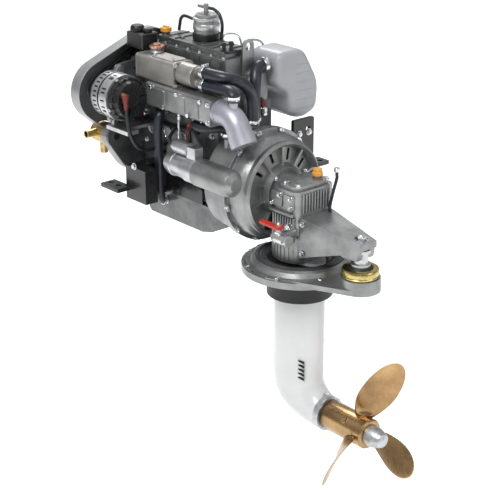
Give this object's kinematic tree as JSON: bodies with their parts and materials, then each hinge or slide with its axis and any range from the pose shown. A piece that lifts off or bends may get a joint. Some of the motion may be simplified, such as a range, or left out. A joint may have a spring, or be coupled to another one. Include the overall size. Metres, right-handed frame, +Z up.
{
  "type": "marine diesel engine",
  "caption": "Small inboard marine diesel engine joined to a saildrive leg with a bladed propeller, carried on a round hull mounting ring.",
  "frame": {"origin": "centre of the mounting ring's underside, on the axis of the vertical drive shaft", "axes": "+X aft, towards the propeller; +Y to starboard; +Z up"},
  "size_m": [0.8658, 0.4732, 1.0696],
  "materials": {
    "grey_casting": "satin",
    "dark_casting": "satin",
    "black_steel": "satin",
    "bright_alloy": "satin",
    "steel": "machined",
    "chrome": "polished",
    "piston_alloy": "machined",
    "black_rubber": "matte",
    "black_plastic": "matte",
    "grey_plastic": "matte",
    "white_paint": "gloss",
    "warm_grey": "satin",
    "bronze": "cast",
    "brass": "satin",
    "zinc": "cast",
    "gold_plate": "satin",
    "red_plastic": "gloss",
    "amber_plastic": "gloss",
    "copper_paint": "satin"
  },
  "bodies": {
    "engine": {"engine_block": "dark_casting", "cylinder_head": "grey_casting", "valve_cover": "dark_casting", "oil_pan": "dark_casting", "timing_cover": "grey_casting", "flywheel_housing": "grey_casting", "bell_housing": "bright_alloy", "belt_cover": "grey_casting", "drive_belt": "black_rubber", "alternator_body": "bright_alloy", "alternator_rear_cover": "black_plastic", "alternator_bracket": "bright_alloy", "coolant_pump_body": "dark_casting", "heat_exchanger": "warm_grey", "exchanger_end_cap": "warm_grey", "exhaust_manifold": "grey_casting", "mixing_elbow": "bright_alloy", "intake_manifold": "bright_alloy", "intake_silencer": "grey_plastic", "rubber_hoses": "black_rubber", "fuel_filter": "black_steel", "injection_pump": "bright_alloy", "injector_lines": "steel", "starter_motor": "bright_alloy", "starter_solenoid": "bright_alloy", "oil_filter": "black_steel", "raw_water_pump": "brass", "front_mount_bracket": "black_steel", "aft_mount_bracket": "black_steel", "gear_case": "grey_casting", "mount_arm": "grey_casting", "rear_isolator": "gold_plate", "mounting_ring": "dark_casting", "rubber_boot": "black_rubber", "leg_housing": "white_paint", "anode_ring": "zinc", "sea_cock_body": "bright_alloy", "fasteners": "chrome"},
    "crank": {"crankshaft": "steel", "flywheel": "steel", "crank_pulley": "steel", "input_shaft": "steel"},
    "camshaft": {"camshaft": "steel"},
    "idler": {"idler_gear": "steel"},
    "raw_impeller": {"raw_water_impeller": "black_rubber"},
    "alternator_rotor": {"alternator_rotor": "steel"},
    "pump_pulley": {"coolant_pump_pulley": "steel"},
    "piston_front": {"piston_front": "piston_alloy"},
    "piston_middle": {"piston_middle": "piston_alloy"},
    "piston_rear": {"piston_rear": "piston_alloy"},
    "starter_pinion": {"starter_pinion": "steel"},
    "oil_filler_cap": {"oil_filler_cap": "black_plastic"},
    "prop": {"propeller": "bronze", "propeller_cone": "zinc", "propeller_shaft": "steel"},
    "leg_shaft": {"vertical_shaft": "steel"},
    "sea_cock_handle": {"sea_cock_handle": "red_plastic"},
    "coolant_cap": {"coolant_cap": "copper_paint"},
    "gear_oil_cap": {"gear_oil_cap": "amber_plastic"},
    "throttle_lever": {"throttle_lever": "steel"}
  },
  "joints": [
    {"name": "crank_spin", "type": "hinge", "parent": "engine", "child": "crank", "pos_m": [-0.35, 0, 0.18], "axis": [1, 0, 0], "continuous": true},
    {"name": "camshaft_spin", "type": "hinge", "parent": "engine", "child": "camshaft", "pos_m": [-0.35, 0.06162, 0.24965], "axis": [1, 0, 0], "continuous": true},
    {"name": "idler_spin", "type": "hinge", "parent": "engine", "child": "idler", "pos_m": [-0.51, -0.09149, 0.21512], "axis": [1, 0, 0], "continuous": true},
    {"name": "raw_impeller_spin", "type": "hinge", "parent": "engine", "child": "raw_impeller", "pos_m": [-0.55, -0.17084, 0.24558], "axis": [1, 0, 0], "continuous": true},
    {"name": "alternator_spin", "type": "hinge", "parent": "engine", "child": "alternator_rotor", "pos_m": [-0.537, -0.184, 0.36], "axis": [1, 0, 0], "continuous": true},
    {"name": "pump_pulley_spin", "type": "hinge", "parent": "engine", "child": "pump_pulley", "pos_m": [-0.537, -0.033, 0.424], "axis": [1, 0, 0], "continuous": true},
    {"name": "piston_front_slide", "type": "slide", "parent": "engine", "child": "piston_front", "axis": [0, 0, 1], "range_m": [-0.0673, 0]},
    {"name": "piston_middle_slide", "type": "slide", "parent": "engine", "child": "piston_middle", "axis": [0, 0, 1], "range_m": [0, 0.0673]},
    {"name": "piston_rear_slide", "type": "slide", "parent": "engine", "child": "piston_rear", "axis": [0, 0, 1], "range_m": [0, 0.0673]},
    {"name": "starter_pinion_slide", "type": "slide", "parent": "engine", "child": "starter_pinion", "axis": [1, 0, 0], "range_m": [0, 0.014], "stiffness_N_per_m": 400, "springref_m": -0.004},
    {"name": "oil_filler_cap_turn", "type": "hinge", "parent": "engine", "child": "oil_filler_cap", "pos_m": [-0.466, -0.028, 0.495], "axis": [0, 0, 1], "range_deg": [0, 90]},
    {"name": "propeller_spin", "type": "hinge", "parent": "engine", "child": "prop", "pos_m": [0.18, 0, -0.35], "axis": [1, 0, 0], "continuous": true},
    {"name": "leg_shaft_spin", "type": "hinge", "parent": "engine", "child": "leg_shaft", "pos_m": [0, 0, 0], "axis": [0, 0, 1], "continuous": true},
    {"name": "sea_cock_turn", "type": "hinge", "parent": "engine", "child": "sea_cock_handle", "pos_m": [0.045, -0.112, 0.14], "axis": [0, 0, 1], "range_deg": [0, 90]},
    {"name": "coolant_cap_turn", "type": "hinge", "parent": "engine", "child": "coolant_cap", "pos_m": [-0.424, -0.09, 0.478], "axis": [0, 0, 1], "range_deg": [0, 90]},
    {"name": "gear_oil_cap_lift", "type": "slide", "parent": "engine", "child": "gear_oil_cap", "axis": [0, 0, 1], "range_m": [0, 0.06]},
    {"name": "throttle_turn", "type": "hinge", "parent": "engine", "child": "throttle_lever", "pos_m": [-0.4, 0.148, 0.241], "axis": [0, 1, 0], "range_deg": [-25, 25]}
  ],
  "couplings": [
    {"joint": "camshaft_spin", "follows": "crank_spin", "ratio": -0.5},
    {"joint": "idler_spin", "follows": "crank_spin", "ratio": -0.46269},
    {"joint": "raw_impeller_spin", "follows": "crank_spin", "ratio": 1.7222},
    {"joint": "alternator_spin", "follows": "crank_spin", "ratio": 1.6552},
    {"joint": "pump_pulley_spin", "follows": "crank_spin", "ratio": 1.0909},
    {"joint": "leg_shaft_spin", "follows": "propeller_spin", "ratio": -1.5}
  ]
}
